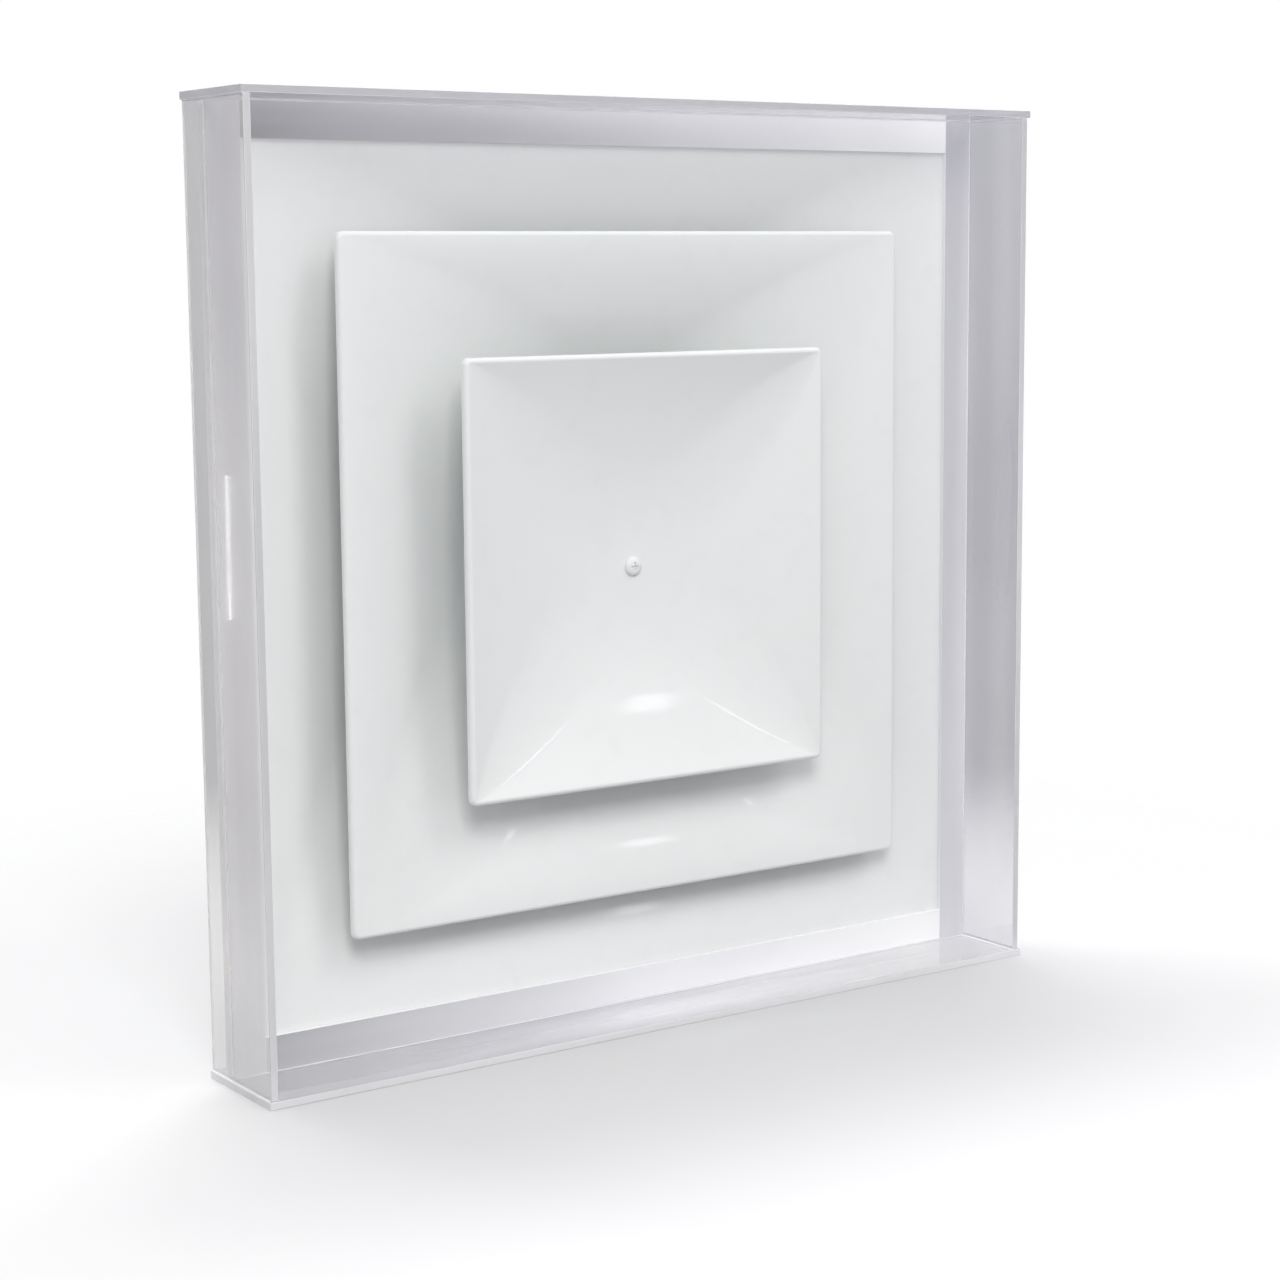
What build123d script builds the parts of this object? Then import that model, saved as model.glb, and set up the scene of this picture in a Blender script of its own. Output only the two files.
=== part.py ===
from build123d import *
import math
import os

# Square three-cone ceiling air diffuser, laid on the ledge of a clear acrylic air guard.
# X runs across the face, Z runs up the face, and the face looks along -Y.
# y = 0 is the ceiling plane, where the guard walls end and the round neck goes on into the duct.

# Guard: four clear walls, the top and bottom ones lying over the ends of the side ones
GUARD_SIZE = 603.0
GUARD_DEPTH = 80.0
WALL = 4.8
PLATE_OVERHANG = 1.5
EDGE_BREAK = 0.5
LEDGE_OPENING = 548.0
LEDGE_THICK = 3.0
LEDGE_DEPTH = 54.0
FIXING_HOLE_R = 2.5
FIXING_SPACING = 400.0
FIXING_INSET = 9.0

# Pressed sheet cones, with depths counted from the guard's front rim
SHEET = 1.2
FLANGE_SIZE = 592.0
FLANGE_LIP = 8.0
OUTER_DISH = 552.0
OUTER_CORNER_R = 10.0
FLANGE_LAP = 5.0
MIDDLE_SIZE = 439.0
MIDDLE_DEPTH = 43.0
INNER_SIZE = 283.0
INNER_DEPTH = 27.0
RIM_LIP = 5.0
RIM_CORNER_R = 5.0
NECK_LAND_R = 140.0
NECK_DEPTH = 112.0
NECK_HOLE_R = 126.0
MIDDLE_LAND_R = 112.0
MIDDLE_BACK_DEPTH = 82.0
MIDDLE_HOLE_R = 98.0
INNER_LAND_R = 14.0
INNER_DISH_DEPTH = 24.0
FLARE_POWER = 1.5
BOWL_POWER = 2.0
DISH_STEPS = 5
CORNER_TO_ROUND = 0.985
CORNER_EXPONENT = 0.8
BORDER_CORNER_R = 1.8

# How far a cutter runs past a sheet on each side, and the gap of a close fit
CUTTER = 5.0
FIT_GAP = 0.05

# Neck collar for a 10 in round duct: the duct slides over the spigot up to the stop bead
COLLAR_R = 125.4
SPIGOT_R = 124.6
COLLAR_THICK = 1.0
COLLAR_LENGTH = 50.0
COLLAR_FLANGE_R = 138.0
BEAD_R = 2.2
BEAD_SETBACK = 16.0
COLLAR_RIVETS = 8

# Rivets
RIVET_R = 1.6
RIVET_HEAD_R = 3.4
RIVET_HEAD_THICK = 1.0
RIVET_CHAMFER = 0.4

# Bridge across the neck, with the nut and two guide rods
BAR_WIDTH = 25.0
BAR_THICK = 3.0
BRIDGE_DEPTH = 124.0
BRIDGE_TAB = 18.0
BRIDGE_RIVET_RISE = 11.0
BRIDGE_RIVET_PITCH = 12.0
SCREW_PASSAGE_R = 5.0
NUT_ACROSS_FLATS = 13.0
NUT_THICK = 6.5
ROD_R = 3.0
ROD_OFFSET = 60.0
ROD_TIP_DEPTH = 66.0
ROD_HEAD_R = 5.0
ROD_HEAD_THICK = 2.0
ROD_CHAMFER = 0.9
ROD_CLEARANCE = 0.25

# Core: hub and bar that carry the middle and inner cones
CORE_BAR_THICK = 2.5
CORE_BAR_LENGTH = 214.0
CORE_BAR_CORNER_R = 5.0
CORE_RIVET_R = 104.0
CORE_RIVET_PITCH = 12.0
HUB_R = 8.0
HUB_FLANGE_R = 12.0
HUB_FLANGE_THICK = 2.0
HUB_SWAGE = 0.6

# Adjusting screw, M8 x 1.25, modelled with a smooth shank
SCREW_R = 4.0
SCREW_CLEARANCE = 0.1
SCREW_HEAD_R = 6.5
SCREW_HEAD_THICK = 3.0
SCREW_HEAD_ROUND = 1.8
SCREW_TIP_CHAMFER = 1.0
SCREW_DRIVE_WIDTH = 1.4
SCREW_DRIVE_LENGTH = 7.0
SCREW_DRIVE_DEPTH = 1.6
SCREW_END_DEPTH = 152.0
STOP_R = 8.0
STOP_LENGTH = 8.0
STOP_GAP = 0.3
SET_SCREW_R = 1.5
SET_SCREW_LENGTH = 3.6

# Hanger tabs for safety wires, on the flange's back near its corners
TAB_OFFSET = 225.0
TAB_EDGE_GAP = 4.0
TAB_WIDTH = 24.0
TAB_FOOT = 14.0
TAB_HEIGHT = 22.0
TAB_THICK = 1.2
TAB_HOLE_R = 3.0
TAB_BEND_GAP = 8.0

FLANGE_DEPTH = LEDGE_DEPTH + LEDGE_THICK
INNER_WIDTH = GUARD_SIZE - 2 * WALL
CORE_BAR_DEPTH = MIDDLE_BACK_DEPTH + SHEET
HUB_START = INNER_DEPTH + INNER_DISH_DEPTH + SHEET


def y_at(depth):
    """Row coordinate of a depth behind the guard's front rim."""
    return depth - GUARD_DEPTH


def block(width, depth_from, depth_to, height, x=0.0, z=0.0):
    """Box centred on (x, z), from one depth to another."""
    size = depth_to - depth_from
    return Pos(x, y_at(depth_from) + size / 2, z) * Box(width, size, height)


def rod(radius, depth_from, depth_to, x=0.0, z=0.0):
    """Cylinder along Y, from one depth to another."""
    size = depth_to - depth_from
    return Pos(x, y_at(depth_from) + size / 2, z) * Rot(90, 0, 0) * Cylinder(radius, size)


def tube(outer_r, inner_r, depth_from, depth_to):
    return rod(outer_r, depth_from, depth_to) - rod(inner_r, depth_from - CUTTER, depth_to + CUTTER)


def drill(radius, depth, x=0.0, z=0.0):
    """Cutter for a hole along Y through the sheets near one depth."""
    return rod(radius, depth - CUTTER, depth + CUTTER, x, z)


def rivet(length):
    """Rivet along +Z with its flat head at z = 0 to RIVET_HEAD_THICK and its shank below."""
    head = Pos(0, 0, RIVET_HEAD_THICK / 2) * Cylinder(RIVET_HEAD_R, RIVET_HEAD_THICK)
    head = chamfer(head.edges().group_by(Axis.Z)[-1], RIVET_CHAMFER)
    return head + Pos(0, 0, -length / 2) * Cylinder(RIVET_R, length)


def facing_back(solid):
    """Turns a solid made along +Z so that it points along +Y."""
    return Rot(-90, 0, 0) * solid


def section(half, corner_r, depth):
    """Rounded square outline, parallel to the face."""
    plane = Plane(origin=(0, y_at(depth), 0), x_dir=(1, 0, 0), z_dir=(0, -1, 0))
    return plane * RectangleRounded(2 * half, 2 * half, corner_r)


def dish_solid(half, corner_r, land_r, depth, rise, profile, shift):
    """Solid under a square-to-round dish, from its rim to its round land."""
    outlines = []
    for step in range(DISH_STEPS + 1):
        t = step / DISH_STEPS
        side = half + (land_r - half) * t
        radius = corner_r + (side * CORNER_TO_ROUND - corner_r) * t ** CORNER_EXPONENT
        outlines.append(section(side, radius, depth + rise * profile(t) + shift))
    return loft(outlines)


def flare(t):
    """Shallow at the rim and steeper towards the neck."""
    return t ** FLARE_POWER


def bowl(t):
    """Steep at the rim and flat at the middle."""
    return 1 - (1 - t) ** BOWL_POWER


def dish(half, corner_r, land_r, depth, rise, profile):
    """Sheet of even thickness that follows a dish, closed by its round land."""
    outside = dish_solid(half, corner_r, land_r, depth, rise, profile, SHEET)
    inside = dish_solid(half, corner_r, land_r, depth, rise, profile, 0.0)
    return outside - inside


def rim_ring(half, corner_r, depth_from, depth_to):
    """Square band one sheet thick, the turned-back edge of a cone."""
    size = depth_to - depth_from
    outside = extrude(section(half, corner_r, depth_from), amount=-size)
    inside = extrude(section(half - SHEET, corner_r - SHEET, depth_from), amount=-size)
    return outside - inside


def flange_frame(outer, opening, corner_r, depth, thick):
    """Flat square frame with a rounded opening."""
    plate = block(outer, depth, depth + thick, outer)
    cut = extrude(section(opening / 2, corner_r, depth - CUTTER), amount=-(thick + 2 * CUTTER))
    return plate - cut


def end_wall(side):
    """Top or bottom guard wall, drilled near its back edge to be screwed into a ceiling frame."""
    z = side * (GUARD_SIZE - WALL) / 2
    wall = block(GUARD_SIZE + 2 * PLATE_OVERHANG, -PLATE_OVERHANG, GUARD_DEPTH, WALL, z=z)
    wall = chamfer(wall.edges(), EDGE_BREAK)
    for x in (-FIXING_SPACING / 2, FIXING_SPACING / 2):
        wall -= Pos(x, -FIXING_INSET, z) * Cylinder(FIXING_HOLE_R, 2 * WALL)
    return wall


def side_wall(side):
    x = side * (GUARD_SIZE - WALL) / 2
    wall = block(WALL, 0, GUARD_DEPTH, INNER_WIDTH, x=x)
    return chamfer(wall.edges().filter_by(Axis.Z), EDGE_BREAK)


def ledge_strip(side, across):
    """Clear strip glued inside the walls. The side strips are the long ones."""
    width = (INNER_WIDTH - LEDGE_OPENING) / 2
    offset = side * (LEDGE_OPENING + width) / 2
    if across:
        return block(LEDGE_OPENING, LEDGE_DEPTH, LEDGE_DEPTH + LEDGE_THICK, width, z=offset)
    return block(width, LEDGE_DEPTH, LEDGE_DEPTH + LEDGE_THICK, INNER_WIDTH, x=offset)


def outer_cone():
    """Back pan: flat flange with a turned-up border, and a dish down to the neck land."""
    opening = OUTER_DISH - 2 * FLANGE_LAP
    frame = flange_frame(FLANGE_SIZE, opening, OUTER_CORNER_R, FLANGE_DEPTH, SHEET)
    border = rim_ring(FLANGE_SIZE / 2, BORDER_CORNER_R, FLANGE_DEPTH, FLANGE_DEPTH + FLANGE_LIP)
    rise = NECK_DEPTH - FLANGE_DEPTH
    pan = dish(OUTER_DISH / 2, OUTER_CORNER_R, NECK_LAND_R, FLANGE_DEPTH, rise, flare)
    pan -= drill(NECK_HOLE_R, NECK_DEPTH)
    pan = frame + border + pan
    for x, z in collar_rivet_spots():
        pan -= drill(RIVET_R, NECK_DEPTH, x, z)
    for x, side in tab_spots():
        pan -= drill(RIVET_R, FLANGE_DEPTH, x, tab_foot_z(side))
    return pan


def middle_cone():
    rise = MIDDLE_BACK_DEPTH - MIDDLE_DEPTH
    cone = dish(MIDDLE_SIZE / 2, RIM_CORNER_R, MIDDLE_LAND_R, MIDDLE_DEPTH, rise, flare)
    cone += rim_ring(MIDDLE_SIZE / 2, RIM_CORNER_R, MIDDLE_DEPTH, MIDDLE_DEPTH + RIM_LIP)
    cone -= drill(MIDDLE_HOLE_R, MIDDLE_BACK_DEPTH)
    for x, z in core_rivet_spots():
        cone -= drill(RIVET_R, MIDDLE_BACK_DEPTH, x, z)
    return cone


def inner_cone():
    cone = dish(INNER_SIZE / 2, RIM_CORNER_R, INNER_LAND_R, INNER_DEPTH, INNER_DISH_DEPTH, bowl)
    cone += rim_ring(INNER_SIZE / 2, RIM_CORNER_R, INNER_DEPTH, INNER_DEPTH + RIM_LIP)
    return cone - drill(SCREW_R + SCREW_CLEARANCE, HUB_START)


def collar_rivet_spots():
    radius = (NECK_HOLE_R + COLLAR_FLANGE_R) / 2
    spots = []
    for number in range(COLLAR_RIVETS):
        angle = math.radians(360 / COLLAR_RIVETS * (number + 0.5))
        spots.append((radius * math.cos(angle), radius * math.sin(angle)))
    return spots


def neck_collar():
    """Round collar, its flange on the back of the pan, reduced to a spigot beyond a stop bead."""
    start = NECK_DEPTH + SHEET
    end = start + COLLAR_LENGTH
    bead_depth = end - BEAD_SETBACK
    spigot_inner_r = SPIGOT_R - COLLAR_THICK
    sleeve = tube(COLLAR_R, COLLAR_R - COLLAR_THICK, start, bead_depth)
    ring = tube(COLLAR_FLANGE_R, COLLAR_R - COLLAR_THICK, start, start + COLLAR_THICK)
    spigot = tube(SPIGOT_R, spigot_inner_r, bead_depth, end)
    step = tube(COLLAR_R, spigot_inner_r, bead_depth - COLLAR_THICK / 2, bead_depth + COLLAR_THICK / 2)
    bead = Pos(0, y_at(bead_depth), 0) * Rot(90, 0, 0) * Torus(SPIGOT_R, BEAD_R)
    bead -= drill(SPIGOT_R - COLLAR_THICK / 2, bead_depth)
    collar = sleeve + ring + spigot + step + bead
    for x, z in collar_rivet_spots():
        collar -= drill(RIVET_R, start, x, z)
    for side in (-1, 1):
        for x in (-BRIDGE_RIVET_PITCH / 2, BRIDGE_RIVET_PITCH / 2):
            collar -= Pos(x, bridge_rivet_y(), side * COLLAR_R) * Cylinder(RIVET_R, 2 * CUTTER)
    return collar


def collar_rivets():
    """Blind rivets through the collar flange and the pan, heads towards the duct."""
    top = NECK_DEPTH + SHEET + COLLAR_THICK
    body = facing_back(rivet(SHEET + COLLAR_THICK))
    return [Pos(x, y_at(top), z) * body for x, z in collar_rivet_spots()]


def bridge_rivet_y():
    return y_at(BRIDGE_DEPTH + BAR_THICK + BRIDGE_RIVET_RISE)


def bridge_reach():
    """Half length of the bridge, whose corners just clear the inside of the collar."""
    inner_r = COLLAR_R - COLLAR_THICK - FIT_GAP
    return math.sqrt(inner_r ** 2 - (BAR_WIDTH / 2) ** 2)


def bridge_bar():
    """Flat bar across the neck, its ends turned back along the inside of the collar."""
    reach = bridge_reach()
    bar = block(BAR_WIDTH, BRIDGE_DEPTH, BRIDGE_DEPTH + BAR_THICK, 2 * reach)
    for side in (-1, 1):
        end = BRIDGE_DEPTH + BAR_THICK + BRIDGE_TAB
        bar += block(BAR_WIDTH, BRIDGE_DEPTH, end, BAR_THICK, z=side * (reach - BAR_THICK / 2))
        for x in (-BRIDGE_RIVET_PITCH / 2, BRIDGE_RIVET_PITCH / 2):
            bar -= Pos(x, bridge_rivet_y(), side * reach) * Cylinder(RIVET_R, 2 * CUTTER)
        bar -= drill(ROD_R + FIT_GAP, BRIDGE_DEPTH, z=side * ROD_OFFSET)
    return bar - drill(SCREW_PASSAGE_R, BRIDGE_DEPTH)


def bridge_rivets():
    """Rivets through the collar wall into the bridge tabs, heads outside."""
    body = rivet(COLLAR_R - bridge_reach() + BAR_THICK)
    rivets = []
    for side in (-1, 1):
        turned = Rot(90 - 90 * side, 0, 0) * body
        for x in (-BRIDGE_RIVET_PITCH / 2, BRIDGE_RIVET_PITCH / 2):
            rivets.append(Pos(x, bridge_rivet_y(), side * COLLAR_R) * turned)
    return rivets


def bridge_nut():
    """Weld nut on the back of the bridge."""
    start = BRIDGE_DEPTH + BAR_THICK
    flat_r = NUT_ACROSS_FLATS / 2
    plane = Plane(origin=(0, y_at(start), 0), x_dir=(1, 0, 0), z_dir=(0, 1, 0))
    outline = plane * RegularPolygon(flat_r, 6, major_radius=False)
    nut = extrude(outline, amount=NUT_THICK)
    return nut - rod(SCREW_R + SCREW_CLEARANCE, start - CUTTER, start + NUT_THICK + CUTTER)


def guide_rods():
    """Rods that keep the core square and stop it turning with the screw."""
    back = BRIDGE_DEPTH + BAR_THICK
    rods = []
    for side in (-1, 1):
        z = side * ROD_OFFSET
        shank = rod(ROD_R, ROD_TIP_DEPTH, back, z=z)
        shank = chamfer(shank.edges().group_by(Axis.Y)[0], ROD_CHAMFER)
        rods.append(shank + rod(ROD_HEAD_R, back, back + ROD_HEAD_THICK, z=z))
    return rods


def tab_spots():
    return [(sx * TAB_OFFSET, sz) for sx in (-1, 1) for sz in (-1, 1)]


def tab_foot_z(side):
    return side * (FLANGE_SIZE / 2 - TAB_EDGE_GAP - TAB_FOOT / 2)


def hanger_tabs():
    """Bent tabs with a hole for a safety wire."""
    base = FLANGE_DEPTH + SHEET
    tabs = []
    for x, side in tab_spots():
        z = tab_foot_z(side)
        foot = block(TAB_WIDTH, base, base + TAB_THICK, TAB_FOOT, x=x, z=z)
        upright_z = z + side * (TAB_FOOT - TAB_THICK) / 2
        upright = block(TAB_WIDTH, base, base + TAB_HEIGHT, TAB_THICK, x=x, z=upright_z)
        hole = Pos(x, y_at(base + TAB_HEIGHT - TAB_BEND_GAP), upright_z)
        tab = foot + upright - hole * Cylinder(TAB_HOLE_R, 2 * CUTTER)
        tabs.append(tab - drill(RIVET_R, base, x, z))
    return tabs


def core_rivet_spots():
    spots = []
    for side in (-1, 1):
        for x in (-CORE_RIVET_PITCH / 2, CORE_RIVET_PITCH / 2):
            spots.append((x, side * CORE_RIVET_R))
    return spots


def core_bar():
    """Bar across the back of the middle cone that carries the hub and runs on the guide rods."""
    end = CORE_BAR_DEPTH + CORE_BAR_THICK
    bar = block(BAR_WIDTH, CORE_BAR_DEPTH, end, CORE_BAR_LENGTH)
    bar = fillet(bar.edges().filter_by(Axis.Y), CORE_BAR_CORNER_R)
    bar -= drill(HUB_R + FIT_GAP, CORE_BAR_DEPTH)
    for side in (-1, 1):
        bar -= drill(ROD_R + ROD_CLEARANCE, CORE_BAR_DEPTH, z=side * ROD_OFFSET)
    for x, z in core_rivet_spots():
        bar -= drill(RIVET_R, CORE_BAR_DEPTH, x, z)
    return bar


def core_rivets():
    end = CORE_BAR_DEPTH + CORE_BAR_THICK
    body = facing_back(rivet(SHEET + CORE_BAR_THICK))
    return [Pos(x, y_at(end), z) * body for x, z in core_rivet_spots()]


def hub_standoff():
    """Turned hub, welded to the back of the inner cone and swaged into the core bar."""
    end = CORE_BAR_DEPTH + CORE_BAR_THICK + HUB_SWAGE
    hub = rod(HUB_R, HUB_START, end) + rod(HUB_FLANGE_R, HUB_START, HUB_START + HUB_FLANGE_THICK)
    return hub - rod(SCREW_R + SCREW_CLEARANCE, HUB_START - CUTTER, end + CUTTER)


def adjusting_screw():
    """Domed cross-head screw. Turning it draws the core in or lets it out."""
    face = HUB_START - SHEET
    head = rod(SCREW_HEAD_R, face - SCREW_HEAD_THICK, face)
    head = fillet(head.edges().group_by(Axis.Y)[0], SCREW_HEAD_ROUND)
    for width, height in ((SCREW_DRIVE_LENGTH, SCREW_DRIVE_WIDTH),
                          (SCREW_DRIVE_WIDTH, SCREW_DRIVE_LENGTH)):
        front = face - SCREW_HEAD_THICK
        head -= block(width, front - CUTTER, front + SCREW_DRIVE_DEPTH, height)
    shank = rod(SCREW_R, face, SCREW_END_DEPTH)
    shank = chamfer(shank.edges().group_by(Axis.Y)[-1], SCREW_TIP_CHAMFER)
    return head + shank


def stop_start():
    return CORE_BAR_DEPTH + CORE_BAR_THICK + HUB_SWAGE + STOP_GAP


def stop_collar():
    """Collar locked on the screw behind the hub, so that the screw carries the core both ways."""
    start = stop_start()
    end = start + STOP_LENGTH
    collar = chamfer(rod(STOP_R, start, end).edges(), EDGE_BREAK)
    collar -= rod(SCREW_R + FIT_GAP, start - CUTTER, end + CUTTER)
    middle = y_at((start + end) / 2)
    return collar - Pos(STOP_R, middle, 0) * Rot(0, 90, 0) * Cylinder(SET_SCREW_R, 2 * STOP_R)


def stop_set_screw():
    middle = y_at(stop_start() + STOP_LENGTH / 2)
    x = SCREW_R + FIT_GAP + SET_SCREW_LENGTH / 2
    return Pos(x, middle, 0) * Rot(0, 90, 0) * Cylinder(SET_SCREW_R, SET_SCREW_LENGTH)


def tab_rivets():
    """One rivet through each hanger tab's foot and the flange."""
    top = FLANGE_DEPTH + SHEET + TAB_THICK
    body = facing_back(rivet(SHEET + TAB_THICK))
    return [Pos(x, y_at(top), tab_foot_z(side)) * body for x, side in tab_spots()]


def parts():
    return {
        "guard_top_wall": end_wall(1),
        "guard_bottom_wall": end_wall(-1),
        "guard_left_wall": side_wall(-1),
        "guard_right_wall": side_wall(1),
        "ledge_top": ledge_strip(1, True),
        "ledge_bottom": ledge_strip(-1, True),
        "ledge_left": ledge_strip(-1, False),
        "ledge_right": ledge_strip(1, False),
        "outer_cone": outer_cone(),
        "neck_collar": neck_collar(),
        "collar_rivets": collar_rivets(),
        "bridge_bar": bridge_bar(),
        "bridge_rivets": bridge_rivets(),
        "bridge_nut": bridge_nut(),
        "guide_rods": guide_rods(),
        "hanger_tabs": hanger_tabs(),
        "hanger_tab_rivets": tab_rivets(),
        "middle_cone": middle_cone(),
        "inner_cone": inner_cone(),
        "hub_standoff": hub_standoff(),
        "core_bar": core_bar(),
        "core_bar_rivets": core_rivets(),
        "adjusting_screw": adjusting_screw(),
        "screw_stop_collar": stop_collar(),
        "stop_set_screw": stop_set_screw(),
    }


os.makedirs("parts", exist_ok=True)
for name, shape in parts().items():
    solids = shape if isinstance(shape, list) else [shape]
    flat = [solid for item in solids for solid in item.solids()]
    export_step(Compound(children=flat), os.path.join("parts", name + ".step"))
    print(name, len(flat), round(sum(solid.volume for solid in flat)))
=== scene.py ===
import math

import bmesh
import bpy
from mathutils import Matrix, Vector


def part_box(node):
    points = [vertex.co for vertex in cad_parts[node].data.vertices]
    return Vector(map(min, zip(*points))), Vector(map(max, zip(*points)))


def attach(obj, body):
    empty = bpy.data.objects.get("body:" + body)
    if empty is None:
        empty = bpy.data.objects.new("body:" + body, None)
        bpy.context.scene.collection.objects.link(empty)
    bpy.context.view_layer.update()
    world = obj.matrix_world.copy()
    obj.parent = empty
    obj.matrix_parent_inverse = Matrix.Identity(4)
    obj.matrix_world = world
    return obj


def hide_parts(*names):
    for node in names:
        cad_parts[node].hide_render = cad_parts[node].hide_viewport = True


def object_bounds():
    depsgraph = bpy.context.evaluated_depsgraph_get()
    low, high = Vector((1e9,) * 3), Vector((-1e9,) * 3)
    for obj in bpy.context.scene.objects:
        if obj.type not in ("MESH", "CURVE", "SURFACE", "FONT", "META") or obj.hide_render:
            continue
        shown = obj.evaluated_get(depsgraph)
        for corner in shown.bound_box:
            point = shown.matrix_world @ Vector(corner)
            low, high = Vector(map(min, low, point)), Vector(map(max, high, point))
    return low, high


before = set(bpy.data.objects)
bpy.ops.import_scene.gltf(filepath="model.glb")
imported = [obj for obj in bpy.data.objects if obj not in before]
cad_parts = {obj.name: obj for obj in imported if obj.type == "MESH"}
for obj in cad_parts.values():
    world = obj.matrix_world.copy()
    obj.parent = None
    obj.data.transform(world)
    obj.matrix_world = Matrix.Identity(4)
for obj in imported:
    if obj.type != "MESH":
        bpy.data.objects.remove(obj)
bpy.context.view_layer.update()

# Square three-cone ceiling air diffuser in a clear acrylic air guard, stood on its lower edge.
# Millimetres are written as numbers times MM. A depth counts back from the guard's front rim.
MM = 0.001
GUARD_DEPTH = 80.0

# Camera: left of the face and a little above its middle
CAMERA_PLACE = (-0.990, -1.463, 0.198)
CAMERA_HEADING = 34.76
CAMERA_PITCH = 8.08
CAMERA_ROLL = -0.48
CAMERA_LENS = 74.4

# Guard
WALL_BEVEL = 0.45
LEDGE_BEVEL = 0.35
WELD_OVERLAP = 0.05
FIXING_HOLE_R = 2.5
FIXING_SPACING = 400.0
FIXING_INSET = 9.0
SEAM_LEG = 1.1
LEDGE_SEAM_LEG = 0.8
AIR_GAP = 0.08
SEAM_SETBACK = 0.4

# Meshes. SUPPORT is how far inside a flat its extra loop lies, which keeps the flat's shading flat.
SUPPORT = 0.15
EDGE_BREAK = 0.3
DRILL_LENGTH = 20.0
CORNERS = [(-1, -1), (-1, 1), (1, -1), (1, 1)]
SMOOTH_ANGLE = math.radians(32)

# Sheet metal
SHEET = 1.2
BEND_R = 2.6
BEND_STEPS = 8
FLARE_POWER = 1.5
BOWL_POWER = 2.0
CORNER_TO_ROUND = 0.985
CORNER_EXPONENT = 0.8
RIM_CORNER_R = 5.0
RIM_LIP = 5.0
OUTER_DISH = 552.0
OUTER_CORNER_R = 10.0
BORDER_CORNER_R = 3.4
FLANGE_LIP = 8.0
NECK_LAND_R = 140.0
NECK_HOLE_R = 126.0
MIDDLE_LAND_R = 112.0
MIDDLE_HOLE_R = 98.0
INNER_LAND_R = 14.0
INNER_DIP = 20.5
SCREW_HOLE_R = 4.1
SIDE_POINTS = 24
ARC_POINTS = 20
DISH_RINGS = 44

# Neck collar, and the lap seam along its inside
COLLAR_START = 113.2
COLLAR_END = 163.2
COLLAR_R = 125.4
SPIGOT_R = 124.6
COLLAR_THICK = 1.0
COLLAR_FLANGE_R = 138.0
COLLAR_BEND_R = 1.6
BEAD_R = 2.2
BEAD_SETBACK = 16.0
COLLAR_RIVETS = 8
COLLAR_RIVET_R = 132.0
LAP_START = 115.2
LAP_END = 143.6
LAP_EDGE = 0.4
LAP_WIDTH = 12.0
LAP_THICK = 0.9
LAP_SPOTS = 4
LAP_SPOT_START = 118.5
LAP_SPOT_PITCH = 7.5

# Rivets
RIVET_R = 1.6
RIVET_HEAD_R = 3.4
RIVET_HEAD_THICK = 1.0
RIVET_DOME_R = 3.6
RIVET_BRIM = 0.25
MANDREL_R = 1.0
TAIL_R = 2.3
TAIL_THICK = 1.3

# Bridge, guide rods and nut
BAR_WIDTH = 25.0
BAR_THICK = 3.0
BRIDGE_DEPTH = 124.0
BRIDGE_TAB = 18.0
BRIDGE_BEND_R = 3.2
BAR_CORNER_R = 3.0
BAR_EDGE_R = 0.5
BRIDGE_RIVET_RISE = 11.0
BRIDGE_RIVET_PITCH = 12.0
BRIDGE_GAP = 0.05
SCREW_PASSAGE_R = 5.0
NUT_ACROSS_FLATS = 13.0
NUT_THICK = 6.5
ROD_R = 3.0
ROD_OFFSET = 60.0
ROD_TIP_DEPTH = 66.0
ROD_HEAD_R = 5.0
ROD_HEAD_THICK = 2.0

# Core
CORE_BAR_DEPTH = 83.2
CORE_BAR_THICK = 2.5
CORE_BAR_LENGTH = 214.0
CORE_BAR_CORNER_R = 5.0
CORE_BAR_EDGE_R = 0.4
CORE_RIVET_Z = 104.0
CORE_RIVET_PITCH = 12.0
ROD_HOLE_R = 3.25
HUB_START = 52.2
HUB_END = 86.3
HUB_R = 8.0
HUB_FLANGE_R = 12.0
HUB_FLANGE_THICK = 2.0

# Screw, M8 x 1.25
SCREW_R = 4.0
THREAD_PITCH = 1.25
THREAD_HEIGHT = 0.70
THREAD_GAP = 0.1
THREAD_FLAT = 0.14
THREAD_RUN_OUT = 1.5
CREST_R = SCREW_R - 0.02
SCREW_TIP_CHAMFER = 1.0
SCREW_HEAD_R = 6.5
SCREW_HEAD_DEPTH = 48.0
SCREW_HEAD_END = 51.0
THREAD_START_DEPTH = 58.0
SCREW_END_DEPTH = 152.0
DRIVE_LENGTH = 7.0
DRIVE_WIDTH = 1.4
DRIVE_DEPTH = 1.6
STOP_R = 8.0
STOP_START = 86.6
STOP_LENGTH = 8.0
SET_SCREW_R = 1.5
SET_SCREW_LENGTH = 3.6

# Hanger tabs
TAB_X = 225.0
TAB_Z = 285.0
TAB_WIDTH = 24.0
TAB_FOOT = 14.0
TAB_HEIGHT = 22.0
TAB_THICK = 1.2
TAB_BEND_R = 1.6
TAB_CORNER_R = 5.0
TAB_EDGE_R = 0.25
TAB_HOLE_R = 3.0
TAB_HOLE_DROP = 8.0
TAB_BASE_DEPTH = 58.2

# Stage, in metres
FLOOR_SOLID = 0.42
FLOOR_RADIUS = 0.98
FLOOR_GAP = 0.0003

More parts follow.
